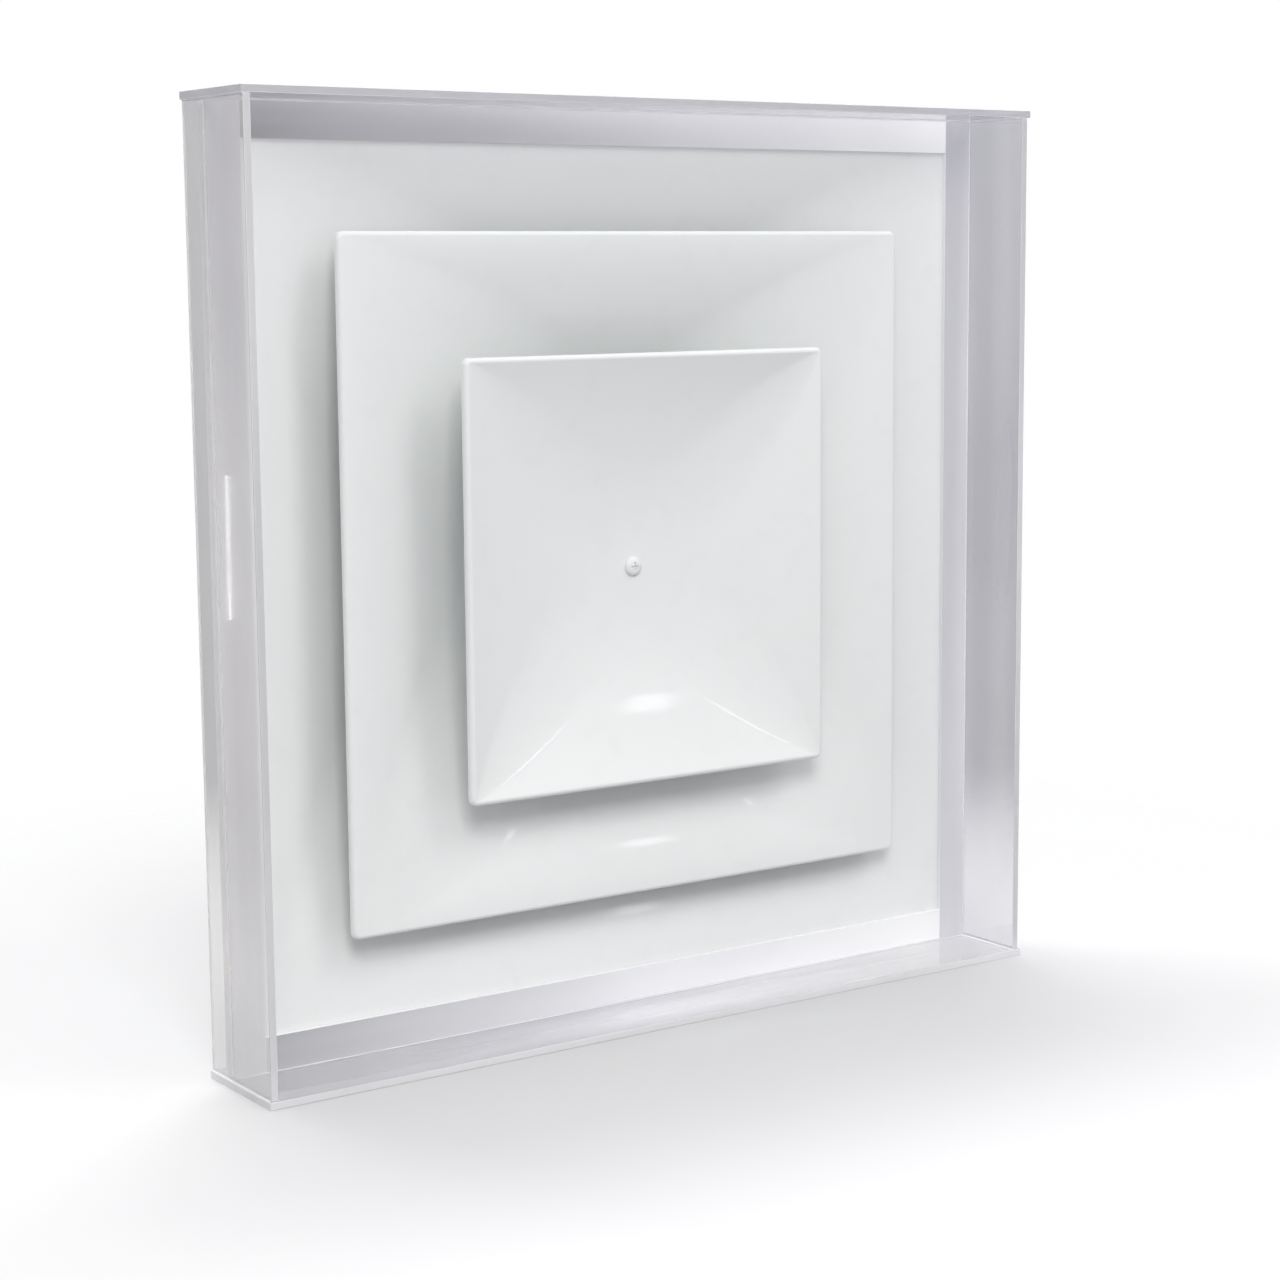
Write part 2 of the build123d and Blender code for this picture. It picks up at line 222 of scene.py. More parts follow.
# Colours painted on the acrylic, from one end of each sheet's length to the other: a grey tint whose
# lightness is painted light and shade, standing for how light falls along and on each sheet, so the top
# sheet is darker, the bottom sheet lighter and the ledge strips brighten to the right.
# TINT_SHADING_REACH is how far from the middle those ends lie, in metres.
TINT_SHADING_REACH = 0.30
LEFT_TINT_SHADING = [(0.90, 0.886, 0.872), (0.97, 0.955, 0.940), (0.91, 0.896, 0.882)]
RIGHT_TINT_SHADING = [(0.84, 0.836, 0.862), (0.94, 0.936, 0.965), (0.83, 0.826, 0.855)]
TOP_TINT_SHADING = [(0.62, 0.617, 0.645), (0.66, 0.656, 0.685), (0.72, 0.716, 0.745)]
BOTTOM_TINT_SHADING = [(0.76, 0.758, 0.775), (0.92, 0.917, 0.94), (1.0, 0.998, 1.0)]
LEDGE_SIDE_TINT_SHADING = [(0.72, 0.716, 0.748), (0.70, 0.696, 0.728), (0.62, 0.616, 0.648)]
TOP_LEDGE_TINT_SHADING = [(0.32, 0.318, 0.332), (0.64, 0.638, 0.662), (1.0, 1.0, 1.0)]
BOTTOM_LEDGE_TINT_SHADING = [(0.42, 0.418, 0.436), (0.88, 0.877, 0.90), (1.0, 1.0, 1.0)]


def y_at(depth):
    """Row coordinate of a depth in millimetres behind the guard's front rim."""
    return (depth - GUARD_DEPTH) * MM


# -------- materials

class Nodes:
    """Short names for building the nodes of a material or a world."""

    def __init__(self, name, kind="Material"):
        self.owner = (bpy.data.worlds if kind == "World" else bpy.data.materials).new(name)
        self.owner.use_nodes = True
        self.tree = self.owner.node_tree
        self.tree.nodes.clear()
        self.output = self.add("Output" + kind)

    def add(self, kind, **inputs):
        """New shader node with its inputs set or linked. An underscore stands for a space."""
        node = self.tree.nodes.new("ShaderNode" + kind)
        for key, value in inputs.items():
            self.feed(node.inputs[key.replace("_", " ")], value)
        return node

    def feed(self, socket, value):
        if isinstance(value, bpy.types.NodeSocket):
            self.tree.links.new(value, socket)
        elif socket.type == "RGBA" and len(value) == 3:
            socket.default_value = (*value, 1.0)
        else:
            socket.default_value = value

    def coords(self, kind="Object"):
        return self.add("TexCoord").outputs[kind]

    def axis(self, name, kind="Object"):
        return self.add("SeparateXYZ", Vector=self.coords(kind)).outputs[name]

    def place(self, stretch=(1, 1, 1)):
        """Object coordinates, stretched per axis."""
        mapping = self.add("Mapping", Vector=self.coords(), Scale=stretch)
        return mapping.outputs["Vector"]

    def noise(self, scale, detail=4.0, roughness=0.55, stretch=(1, 1, 1)):
        node = self.add("TexNoise", Vector=self.place(stretch), Scale=scale,
                        Detail=detail, Roughness=roughness)
        return node.outputs["Fac"]

    def ramp(self, value, stops):
        node = self.add("ValToRGB", Fac=value)
        elements = node.color_ramp.elements
        while len(elements) < len(stops):
            elements.new(0.5)
        for element, (position, colour) in zip(elements, stops):
            element.position = position
            element.color = (*colour, 1.0)
        return node.outputs["Color"]

    def span(self, value, low, high, out_low=0.0, out_high=1.0):
        node = self.add("MapRange", Value=value, From_Min=low, From_Max=high,
                        To_Min=out_low, To_Max=out_high)
        return node.outputs["Result"]

    def mix(self, factor, a, b):
        node = self.add("Mix")
        node.data_type = "RGBA"
        self.feed(node.inputs[0], factor)
        self.feed(node.inputs[6], a)
        self.feed(node.inputs[7], b)
        return node.outputs[2]

    def math(self, operation, a, b=0.0):
        node = self.add("Math")
        node.operation = operation
        self.feed(node.inputs[0], a)
        self.feed(node.inputs[1], b)
        return node.outputs[0]

    def bump(self, height, strength, distance):
        node = self.add("Bump", Height=height, Strength=strength, Distance=distance)
        return node.outputs["Normal"]

    def blend(self, factor, first, second):
        node = self.add("MixShader")
        self.feed(node.inputs[0], factor)
        self.tree.links.new(first.outputs[0], node.inputs[1])
        self.tree.links.new(second.outputs[0], node.inputs[2])
        return node

    def edges(self, low, high):
        """0 on flats, 1 on convex edges."""
        geometry = self.add("NewGeometry")
        return self.span(geometry.outputs["Pointiness"], low, high)

    def finish(self, shader):
        self.tree.links.new(shader.outputs[0], self.output.inputs["Surface"])
        return self.owner


def white_enamel():
    """Baked white enamel: faint orange peel, slightly uneven tone and gloss, patches of dust, and a painted
    highlight that lightens convex edges.
    """
    n = Nodes("white_enamel")
    colour = n.ramp(n.noise(3.0, detail=3.0),
                    [(0.3, (0.790, 0.805, 0.796)), (0.7, (0.825, 0.838, 0.830))])
    dust = n.math("MULTIPLY", n.span(n.noise(60.0, detail=6.0), 0.52, 0.75), 0.10)
    colour = n.mix(dust, colour, (0.64, 0.65, 0.64))
    # Painted highlight: convex edges are made lighter, as where light catches them.
    colour = n.mix(n.math("MULTIPLY", n.edges(0.53, 0.62), 0.25), colour, (0.86, 0.87, 0.865))
    rough = n.span(n.noise(35.0), 0.3, 0.7, 0.30, 0.42)
    peel = n.noise(700.0, detail=2.0)
    waves = n.noise(12.0, detail=1.0)
    height = n.math("ADD", n.math("MULTIPLY", peel, 0.10), n.math("MULTIPLY", waves, 0.9))
    return n.finish(n.add("BsdfPrincipled", Base_Color=colour, Roughness=rough, IOR=1.5, Coat_Weight=0.5,
                          Coat_Roughness=0.06, Coat_IOR=1.5, Normal=n.bump(height, 0.30, 0.0004)))


def acrylic(name, along, face, cloudy, clear, tint_shadings, sawn_tint_and_shading=(0.90, 0.896, 0.915), matt=0.0):
    """Clear acrylic sheet with faint streaks, smears and scuffs. Its sawn edges are cloudier. Its bevels
    are painted near white as a painted highlight.

    along is its long axis and face the axis across its thickness. cloudy and clear are the least and
    most light its faces let through. tint_shadings is its colour from one end of its length to the other,
    whose lightness is painted light and shade. sawn_tint_and_shading is the colour of its sawn edges,
    whose lightness, set per sheet, is painted light and shade. matt is the roughness its faces have
    beyond the sheet's.
    """
    n = Nodes(name)
    lengthways = tuple(0.45 if axis == along else 12.0 for axis in "XYZ")
    streaks = n.noise(3.0, detail=1.5, roughness=0.45, stretch=lengthways)
    smears = n.noise(5.0, detail=2.5, roughness=0.5)
    drawn_out = tuple(0.15 if axis == along else 1.0 for axis in "XYZ")
    scuffs = n.noise(180.0, detail=3.0, stretch=drawn_out)
    across = n.math("ABSOLUTE", n.axis(face, "Normal"))
    edge = n.span(across, 0.97, 0.75)
    sawn = n.span(across, 0.35, 0.15)
    # Painted light and shade: the sheet's lightness ramps from end to end as the light falls along it.
    run = n.span(n.axis(along), -TINT_SHADING_REACH, TINT_SHADING_REACH)
    tint_and_shading = n.ramp(run, [(index / (len(tint_shadings) - 1), colour) for index, colour in enumerate(tint_shadings)])
    tint_and_shading = n.mix(n.span(streaks, 0.48, 0.74, 0.0, 0.3), tint_and_shading, (0.97, 0.97, 0.985))
    tint_and_shading = n.mix(n.span(smears, 0.42, 0.72, 0.0, 0.35), tint_and_shading, (0.60, 0.595, 0.625))
    # Painted highlight: edges and bevels are made near white, as where light glints along them.
    tint_and_shading = n.mix(edge, tint_and_shading, (0.99, 0.99, 1.0))
    # Sawn edges: a cloudy white, with a per-sheet lightness that is painted light and shade.
    tint_and_shading = n.mix(sawn, tint_and_shading, sawn_tint_and_shading)
    fine = n.span(n.math("ADD", streaks, scuffs), 0.7, 1.25, 0.018 + matt, 0.036 + matt)
    rough = n.math("ADD", fine, n.math("MULTIPLY", edge, 0.16))
    through = n.span(n.math("ADD", streaks, smears), 0.8, 1.3, clear, cloudy)
    through = n.math("SUBTRACT", through, n.math("MULTIPLY", edge, 0.35))
    waves = n.noise(5.0, detail=0.0)
    glass = n.add("BsdfPrincipled", Base_Color=tint_and_shading, Roughness=rough, IOR=1.49,
                  Transmission_Weight=through, Normal=n.bump(waves, 0.20, 0.0008))
    passing = n.add("BsdfTransparent", Color=(0.78, 0.78, 0.79))
    rays = n.add("LightPath")
    return n.finish(n.blend(rays.outputs["Is Shadow Ray"], glass, passing))


def galvanised():
    """Galvanised sheet with its crystal spangle and a few dull stains."""
    n = Nodes("galvanised_steel")
    cells = n.add("TexVoronoi", Vector=n.place(), Scale=110.0)
    spangle = n.ramp(n.span(cells.outputs["Color"], 0.0, 1.0),
                     [(0.2, (0.50, 0.52, 0.54)), (0.8, (0.68, 0.70, 0.72))])
    colour = n.mix(n.span(n.noise(9.0, detail=4.0), 0.42, 0.75, 0.0, 0.4), spangle, (0.44, 0.45, 0.46))
    colour = n.mix(n.math("MULTIPLY", n.edges(0.52, 0.60), 0.5), colour, (0.80, 0.81, 0.82))
    rough = n.span(cells.outputs["Color"], 0.1, 0.9, 0.26, 0.44)
    return n.finish(n.add("BsdfPrincipled", Base_Color=colour, Roughness=rough, Metallic=0.92,
                          Normal=n.bump(n.noise(260.0, detail=3.0), 0.2, 0.0003)))


def bright_steel(name, light, dark, rough_low, rough_high, marks_scale):
    """Plated or turned steel with fine tool marks around the Y axis and rubbed edges."""
    n = Nodes(name)
    marks = n.noise(marks_scale, detail=5.0, stretch=(1, 14, 1))
    colour = n.ramp(n.noise(70.0, detail=3.0), [(0.3, dark), (0.7, light)])
    colour = n.mix(n.math("MULTIPLY", n.edges(0.52, 0.62), 0.5), colour, (0.85, 0.85, 0.86))
    rough = n.span(marks, 0.3, 0.7, rough_low, rough_high)
    return n.finish(n.add("BsdfPrincipled", Base_Color=colour, Roughness=rough, Metallic=0.95,
                          Normal=n.bump(marks, 0.25, 0.0002)))


def screw_finish():
    """White enamel on the head, zinc on the shank behind the face."""
    n = Nodes("white_screw")
    shank = n.span(n.axis("Y"), y_at(SCREW_HEAD_END + 0.2), y_at(SCREW_HEAD_END + 0.8))
    marks = n.noise(220.0, detail=4.0)
    white = n.ramp(marks, [(0.3, (0.76, 0.775, 0.765)), (0.7, (0.80, 0.815, 0.805))])
    white = n.mix(n.math("MULTIPLY", n.edges(0.55, 0.66), 0.35), white, (0.56, 0.56, 0.57))
    zinc = n.ramp(marks, [(0.3, (0.50, 0.51, 0.53)), (0.7, (0.64, 0.65, 0.67))])
    shader = n.add("BsdfPrincipled", Base_Color=n.mix(shank, white, zinc),
                   Roughness=n.span(marks, 0.3, 0.7, 0.26, 0.38), Metallic=n.math("MULTIPLY", shank, 0.95),
                   Normal=n.bump(marks, 0.15, 0.0002))
    return n.finish(shader)


def floor_white():
    """Pale floor that fades into the backdrop far from the object, and bounces little light back."""
    n = Nodes("floor_white")
    away = n.add("VectorMath", Vector=n.coords())
    away.operation = "LENGTH"
    colour = n.ramp(n.noise(2.0, detail=3.0), [(0.3, (0.64, 0.64, 0.643)), (0.7, (0.655, 0.655, 0.658))])
    seen = n.add("BsdfDiffuse", Color=colour)
    bounced = n.add("BsdfDiffuse", Color=n.mix(0.5, colour, (0.0, 0.0, 0.0)))
    rays = n.add("LightPath")
    floor = n.blend(rays.outputs["Is Diffuse Ray"], seen, bounced)
    fade = n.add("MapRange", Value=away.outputs["Value"], From_Min=FLOOR_SOLID,
                 From_Max=FLOOR_RADIUS)
    fade.interpolation_type = "SMOOTHSTEP"
    clear = n.add("BsdfTransparent")
    return n.finish(n.blend(fade.outputs["Result"], floor, clear))


# -------- mesh helpers

def finish_mesh(bm, name, finish):
    """Links a cleaned mesh as an object with a finish, shaded smooth up to SMOOTH_ANGLE."""
    bmesh.ops.remove_doubles(bm, verts=bm.verts, dist=1e-6)
    bmesh.ops.dissolve_degenerate(bm, edges=bm.edges, dist=1e-7)
    bmesh.ops.recalc_face_normals(bm, faces=bm.faces)
    mesh = bpy.data.meshes.new(name)
    bm.to_mesh(mesh)
    bm.free()
    mesh.shade_smooth()
    mesh.set_sharp_from_angle(angle=SMOOTH_ANGLE)
    mesh.materials.append(MATERIAL[finish])
    piece = bpy.data.objects.new(name, mesh)
    bpy.context.collection.objects.link(piece)
    return piece


def add_grid(bm, rings, close_rows=False, cap=False, place=None):
    """Adds the surface through closed rings of equal length to a mesh, moved by a matrix."""
    place = place or Matrix()
    verts = [bm.verts.new(place @ point) for ring in rings for point in ring]
    rows, count = len(rings), len(rings[0])
    for row in range(rows if close_rows else rows - 1):
        low, high = row * count, (row + 1) % rows * count
        for column in range(count):
            side = (column + 1) % count
            corners = (low + column, low + side, high + side, high + column)
            bm.faces.new([verts[index] for index in corners])
    if cap:
        bm.faces.new(verts[:count])
        bm.faces.new(verts[-count:])


def skin(name, rings, finish, close_rows=False, cap=False):
    """Piece made of the surface through rings."""
    bm = bmesh.new()
    add_grid(bm, rings, close_rows, cap)
    return finish_mesh(bm, name, finish)


def lathe_rings(profile, z=0.0, segments=96):
    """Rings of a profile of (radius, y) points turned about Y, z being the axis' height."""
    rings = []
    for radius, y in profile:
        radius = max(radius, 1e-6)
        ring = []
        for step in range(segments):
            angle = 2 * math.pi * step / segments
            ring.append(Vector((radius * math.cos(angle), y, z + radius * math.sin(angle))))
        rings.append(ring)
    return rings


def mm_profile(points):
    """Profile of (radius, depth) points in millimetres, in metres and row coordinates."""
    return [(radius * MM, y_at(depth)) for radius, depth in points]


def arc(centre, radius, start, end, steps=8):
    """Points of an arc, angles in degrees counted from the first axis to the second."""
    points = []
    for step in range(steps + 1):
        angle = math.radians(start + (end - start) * step / steps)
        points.append((centre[0] + radius * math.cos(angle), centre[1] + radius * math.sin(angle)))
    return points


def turning(name, points, finish, segments=96):
    """Piece with a closed profile of (radius, depth) points, turned about the middle axis."""
    rings = lathe_rings(mm_profile(points), segments=segments)
    return skin(name, rings, finish, close_rows=True)


def pointing(place, axis):
    """Matrix that turns +Y to an axis and moves the origin to a place."""
    turn = Vector((0, 1, 0)).rotation_difference(Vector(axis)).to_matrix().to_4x4()
    return Matrix.Translation(place) @ turn


def box_piece(name, low, high, bevel, finish, segments=3):
    """Box with rounded edges, between two corners in metres."""
    bm = bmesh.new()
    made = bmesh.ops.create_cube(bm, size=1.0)["verts"]
    for vert in made:
        vert.co = Vector((low[i] if vert.co[i] < 0 else high[i]) for i in range(3))
    edges = {edge for vert in made for edge in vert.link_edges}
    bmesh.ops.bevel(bm, geom=list(edges), offset=bevel, segments=segments, profile=0.5,
                    affect="EDGES", clamp_overlap=True)
    flats = [face for face in bm.faces if face.is_valid and max(abs(c) for c in face.normal) > 0.9999
             and face.calc_area() > 4 * bevel ** 2]
    bmesh.ops.inset_individual(bm, faces=flats, thickness=SUPPORT * MM, use_even_offset=True)
    return finish_mesh(bm, name, finish)


def cut(piece, cutter):
    """Cuts one piece with another, which is then removed."""
    modifier = piece.modifiers.new("cut", "BOOLEAN")
    modifier.solver = "EXACT"
    modifier.object = cutter
    graph = bpy.context.evaluated_depsgraph_get()
    graph.update()
    result = bpy.data.meshes.new_from_object(piece.evaluated_get(graph))
    piece.modifiers.clear()
    piece.data = result
    result.shade_smooth()
    result.set_sharp_from_angle(angle=SMOOTH_ANGLE)
    bpy.data.objects.remove(cutter, do_unlink=True)


def drill(piece, centre, axis, radius, length=DRILL_LENGTH):
    """Drills a round hole through a piece. radius and length are in millimetres."""
    radius, half = radius * MM, length / 2 * MM
    rings = lathe_rings([(0, -half), (radius, -half), (radius, half), (0, half)], segments=48)
    bm = bmesh.new()
    add_grid(bm, rings, place=pointing(centre, axis))
    cut(piece, finish_mesh(bm, "cutter", "zinc_fasteners"))


def strip_rings(path, halves, thick, corner):
    """Rings of a bent strip. path gives (y, z) points, halves its half width at each of them."""
    rings = []
    for index, here in enumerate(path):
        before = path[max(index - 1, 0)]
        after = path[min(index + 1, len(path) - 1)]
        along = Vector((after[0] - before[0], after[1] - before[1])).normalized()
        across = Vector((-along[1], along[0]))
        ring = []
        for quarter, (sx, st) in enumerate(((1, 1), (-1, 1), (-1, -1), (1, -1))):
            for step in range(-1, 5):
                angle = math.radians(90 * quarter + 30 * min(max(step, 0), 3))
                shift = SUPPORT * MM * {-1: -1, 4: 1}.get(step, 0)
                x = sx * (halves[index] - corner) + corner * math.cos(angle) - shift * math.sin(angle)
                t = st * (thick / 2 - corner) + corner * math.sin(angle) + shift * math.cos(angle)
                ring.append(Vector((x, here[0] + across[0] * t, here[1] + across[1] * t)))
        rings.append(ring)
    return rings


def straight(start, end, steps):
    return [(start[0] + (end[0] - start[0]) * s / steps, start[1] + (end[1] - start[1]) * s / steps)
            for s in range(steps + 1)]


def rounded_halves(path, half, radius):
    """Half width along a strip whose ends have rounded corners."""
    lengths = [0.0]
    for before, after in zip(path, path[1:]):
        lengths.append(lengths[-1] + math.dist(before, after))
    halves = []
    for run in lengths:
        near = min(run, lengths[-1] - run, radius)
        halves.append(half - (radius - math.sqrt(max(radius ** 2 - (radius - near) ** 2, 0.0))))
    return halves


def refine_ends(path, radius, steps=6):
    """Adds points near both ends of a path, where the corners are rounded."""
    def inserted(first, second):
        span = math.dist(first, second)
        runs = [radius * (1 - math.cos(math.radians(90 * step / steps))) for step in range(1, steps + 1)]
        return [(first[0] + (second[0] - first[0]) * run / span,
                 first[1] + (second[1] - first[1]) * run / span) for run in runs if run < span * 0.98]
    head = inserted(path[0], path[1])
    tail = inserted(path[-1], path[-2])[::-1]
    return [path[0]] + head + path[1:-1] + tail + [path[-1]]


def strap_rings(path, width, corner_r, thick, edge_r):
    """Rings of a bent strip with rounded corners at both ends. Sizes are in millimetres."""
    path = refine_ends(path, corner_r * MM)
    halves = rounded_halves(path, width / 2 * MM, corner_r * MM)
    return strip_rings(path, halves, thick * MM, edge_r * MM)


def add_piece(piece, body, *nodes):
    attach(piece, body)
    if nodes:
        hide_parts(*nodes)


# -------- cones

def square_ring(half, corner_r, y):
    """Rounded square outline, parallel to the face, always with the same number of points."""
    corner_r = min(max(corner_r, 0.4 * MM), half * 0.9999)
    flat = half - corner_r
    ring = []
    for quarter in range(4):
        turn = Matrix.Rotation(math.radians(90 * quarter), 3, "Y")
        for step in range(SIDE_POINTS):
            x = -flat + 2 * flat * step / SIDE_POINTS
            ring.append(turn @ Vector((x, y, half)))
        for step in range(ARC_POINTS):
            angle = math.radians(90 * step / ARC_POINTS)
            x = flat + corner_r * math.sin(angle)
            z = flat + corner_r * math.cos(angle)
            ring.append(turn @ Vector((x, y, z)))
    return ring


def round_ring(radius, y):
    return square_ring(radius, radius, y)


def flare(t):
    return t ** FLARE_POWER


def bowl(t):
    return 1 - (1 - t) ** BOWL_POWER


def dish_rings(half, corner_r, land_r, y_rim, y_land, profile, back):
    """Rings down a square-to-round dish: on its front, or on its back one sheet behind."""
    rings = []
    for step in [0, 0.1, *range(1, DISH_RINGS + 1)]:
        t = step / DISH_RINGS
        side = half + (land_r - half) * t
        radius = corner_r + (side * CORNER_TO_ROUND - corner_r) * t ** CORNER_EXPONENT
        rings.append(square_ring(side, radius, y_rim + (y_land - y_rim) * profile(t) + back))
    return rings


def bend_rings(half, corner_r, y_rim, dip, radius):
    """Bend from the lip round to the face, past a right angle by dip degrees."""
    rings = []
    for step in range(BEND_STEPS + 1):
        angle = math.radians((90 + dip) * step / BEND_STEPS)
        shrink = BEND_R * MM - radius * math.cos(angle)
        rise = BEND_R * MM - radius * math.sin(angle)
        rings.append(square_ring(half - shrink, corner_r - shrink, y_rim + rise))
    return rings


def make_cone(node, land_r, hole_r, profile, dip):
    """Pressed cone: lip, rolled rim, square-to-round dish and a round hole, one sheet thick."""
    low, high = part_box(node)
    half = high[0]
    sheet = SHEET * MM
    corner = RIM_CORNER_R * MM
    y_rim = low[1]
    y_land = high[1] - sheet
    lip = y_rim + RIM_LIP * MM
    soft = EDGE_BREAK * MM
    bend = BEND_R * MM
    inset = bend * (1 + math.sin(math.radians(dip)))
    start = y_rim + bend * (1 - math.cos(math.radians(dip)))
    outside = bend_rings(half, corner, y_rim, dip, bend)
    inside = bend_rings(half, corner, y_rim, dip, bend - sheet)
    dish = (half - inset, corner - bend, land_r * MM, start, y_land, profile)
    front = dish_rings(*dish, 0.0)
    behind = dish_rings(*dish, sheet)
    edge = [square_ring(half - soft, corner, lip), square_ring(half, corner, lip - soft)]
    edge_inside = [square_ring(half - sheet, corner - sheet, lip - soft),
                   square_ring(half - sheet + soft, corner - sheet, lip)]
    hole = [round_ring(hole_r * MM, y_land), round_ring(hole_r * MM, y_land + sheet)]
    rings = edge + outside + front[1:] + hole + behind[::-1][:-2] + inside[::-1] + edge_inside
    add_piece(skin(node + "_pressing", rings, "white_enamel", close_rows=True), "core", node)


def make_pan():
    """Back pan: turned-back border, flat flange on the ledge, and the dish down to the neck."""
    low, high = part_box("outer_cone")
    half = high[0]
    y_rim = low[1]
    sheet = SHEET * MM
    y_land = high[1] - sheet
    corner = BORDER_CORNER_R * MM
    tip = y_rim + FLANGE_LIP * MM
    bend = BEND_R * MM
    outside = bend_rings(half, corner, y_rim, 0.0, bend)
    inside = bend_rings(half, corner, y_rim, 0.0, bend - sheet)
    dish = (OUTER_DISH * MM / 2, OUTER_CORNER_R * MM, NECK_LAND_R * MM, y_rim, y_land, flare)
    front = dish_rings(*dish, 0.0)
    behind = dish_rings(*dish, sheet)
    edge = [square_ring(half, corner, tip)]
    edge_inside = [square_ring(half - sheet, corner - sheet, tip)]
    hole = [round_ring(NECK_HOLE_R * MM, y_land), round_ring(NECK_HOLE_R * MM, y_land + sheet)]
    rings = edge + outside + front + hole + behind[::-1] + inside[::-1] + edge_inside
    add_piece(skin("back_pan_pressing", rings, "white_enamel", close_rows=True), "diffuser", "outer_cone")


# -------- guard

def make_guard():
    """Clear walls with polished, rounded edges. Cemented faces run into each other a hair."""
    overlap = Vector((0, 0, WELD_OVERLAP * MM))
    for node in ("guard_left_wall", "guard_right_wall"):
        low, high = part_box(node)
        piece = box_piece(node + "_sheet", low - overlap, high + overlap, WALL_BEVEL * MM, node)
        add_piece(piece, "guard", node)
    for node in ("guard_top_wall", "guard_bottom_wall"):
        low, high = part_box(node)
        piece = box_piece(node + "_sheet", low, high, WALL_BEVEL * MM, node)
        for side in (-1, 1):
            centre = (side * FIXING_SPACING / 2 * MM, -FIXING_INSET * MM, (low[2] + high[2]) / 2)
            drill(piece, centre, (0, 0, 1), FIXING_HOLE_R)
        add_piece(piece, "guard", node)


def make_ledge():
    """Strips that the pan rests on. They too run into the walls, and end short of the pan."""
    overlap = Vector((WELD_OVERLAP, 0, WELD_OVERLAP)) * MM
    gap = Vector((0, AIR_GAP * MM, 0))
    for node, finish in (("ledge_left", "ledge_upright"), ("ledge_right", "ledge_upright"),
                         ("ledge_top", "ledge_top"), ("ledge_bottom", "ledge_bottom")):
        low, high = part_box(node)
        piece = box_piece(node + "_strip", low - overlap, high + overlap - gap, LEDGE_BEVEL * MM,
                          finish, segments=2)
        add_piece(piece, "guard", node)


def add_cove(bm, start, end, out_a, out_b, leg, steps=6):
    """Concave bead of cement along an inside corner, from start to end."""
    start, end, out_a, out_b = (Vector(v) for v in (start, end, out_a, out_b))
    sunk = -WELD_OVERLAP * MM
    section = [out_a * sunk + out_b * sunk, out_a * leg + out_b * sunk, out_a * leg]
    for step in range(1, steps):
        angle = math.radians(90 * step / steps)
        section.append(out_a * leg * (1 - math.sin(angle)) + out_b * leg * (1 - math.cos(angle)))
    section += [out_b * leg, out_b * leg + out_a * sunk]
    add_grid(bm, [[place + point for point in section] for place in (start, end)], cap=True)


def make_seams():
    """Cement beads in the guard's inside corners, under the overhangs, and along the ledge."""
    low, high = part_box("guard_left_wall")
    inner_x, outer_x, inner_z = -high[0], -low[0], high[2]
    front, back = low[1] + SEAM_SETBACK * MM, high[1] - SEAM_SETBACK * MM
    leg, ledge_leg = SEAM_LEG * MM, LEDGE_SEAM_LEG * MM
    bm = bmesh.new()
    for sx, sz in CORNERS:
        for x, out in ((inner_x, -sx), (outer_x, sx)):
            add_cove(bm, (sx * x, front, sz * inner_z), (sx * x, back, sz * inner_z), (out, 0, 0),
                     (0, 0, -sz), leg)
    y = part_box("ledge_left")[0][1]
    reach = inner_z - leg
    for side in (-1, 1):
        x, z = side * inner_x, side * inner_z
        add_cove(bm, (x, y, -reach), (x, y, reach), (-side, 0, 0), (0, -1, 0), ledge_leg)
        add_cove(bm, (-reach, y, z), (reach, y, z), (0, 0, -side), (0, -1, 0), ledge_leg)
    seams = finish_mesh(bm, "guard_cement_seams", "guard_right_wall")
    add_piece(seams, "guard")


# -------- neck

def collar_points():
    """Profile of the collar: flange, bend, sleeve, stop bead and spigot, outside then inside."""
    start, end = COLLAR_START, COLLAR_END
    back = start + COLLAR_THICK
    soft = EDGE_BREAK
    bead = end - BEAD_SETBACK
    inner = COLLAR_R - COLLAR_THICK
    spigot_inner = SPIGOT_R - COLLAR_THICK
    points = [(COLLAR_FLANGE_R - soft, start), (COLLAR_FLANGE_R, start + soft),
              (COLLAR_FLANGE_R, back - soft), (COLLAR_FLANGE_R - soft, back)]
    points += arc((COLLAR_R + COLLAR_BEND_R, back + COLLAR_BEND_R), COLLAR_BEND_R, 270, 180, 6)
    points += [(COLLAR_R, bead - BEAD_R - 1.2)]
    points += arc((COLLAR_R + 0.9, bead - BEAD_R - 0.9), 0.9, 180, 120, 3)
    points += arc((SPIGOT_R, bead), BEAD_R, -50, 62, 12)
    points += arc((SPIGOT_R + 0.8, bead + BEAD_R + 0.7), 0.8, 230, 180, 3)
    points += [(SPIGOT_R, end - 0.4), (SPIGOT_R - soft, end), (spigot_inner + soft, end),
               (spigot_inner, end - 0.4), (spigot_inner, bead + BEAD_R)]
    points += arc((spigot_inner + 0.2, bead), BEAD_R - 0.9, 80, -60, 8)
    points += [(inner, bead - BEAD_R - 0.6), (inner, back)]
    points += arc((inner + 0.7, start + 0.7), 0.7, 180, 270, 3)
    return points


def make_collar():
    piece = turning("neck_collar_sleeve", collar_points(), "galvanised_steel", segments=224)
    add_piece(piece, "diffuser", "neck_collar")


